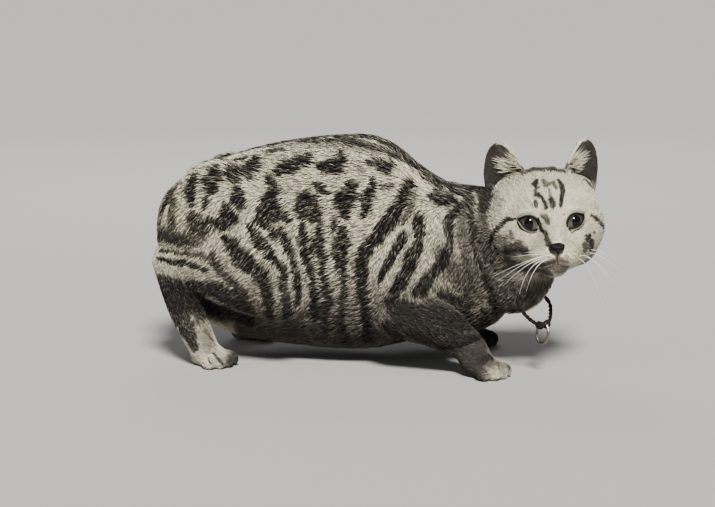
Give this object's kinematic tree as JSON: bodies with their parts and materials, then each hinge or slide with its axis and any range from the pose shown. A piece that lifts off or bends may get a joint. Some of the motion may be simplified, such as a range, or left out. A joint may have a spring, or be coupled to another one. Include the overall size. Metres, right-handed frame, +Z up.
{
  "type": "manx cat",
  "caption": "life-size still model of a tailless spotted tabby cat in a low crouch, its head turned to its right, wearing a cord collar with a ring",
  "frame": {"origin": "on the floor under the middle of the cat's box", "axes": "+X towards the head, +Y to the cat's left, +Z up"},
  "size_m": [0.3962, 0.1748, 0.1984],
  "materials": {
    "coat": "short dense fur, matt",
    "pale_coat": "short dense fur, matt",
    "leg_coat": "short dense fur, matt",
    "ear_coat": "thin fur, matt",
    "nose_leather": "damp, satin",
    "eye": "wet gloss",
    "collar_cord": "satin",
    "ring_metal": "satin"
  },
  "bodies": {
    "root": {"torso": "coat", "rump": "coat", "thigh_left": "coat", "thigh_right": "coat", "upper_arm_left": "coat", "upper_arm_right": "coat", "neck": "leg_coat", "shank_left": "leg_coat", "shank_right": "leg_coat", "hind_foot_left": "coat", "hind_foot_right": "coat", "forearm_left": "leg_coat", "forearm_right": "leg_coat", "head": "pale_coat", "fore_paw_left": "pale_coat", "fore_paw_right": "pale_coat", "hind_paw_left": "pale_coat", "hind_paw_right": "pale_coat", "ear_left": "ear_coat", "ear_right": "ear_coat", "nose": "nose_leather", "eye_left": "eye", "eye_right": "eye", "collar": "collar_cord", "collar_ring": "ring_metal"}
  },
  "joints": []
}
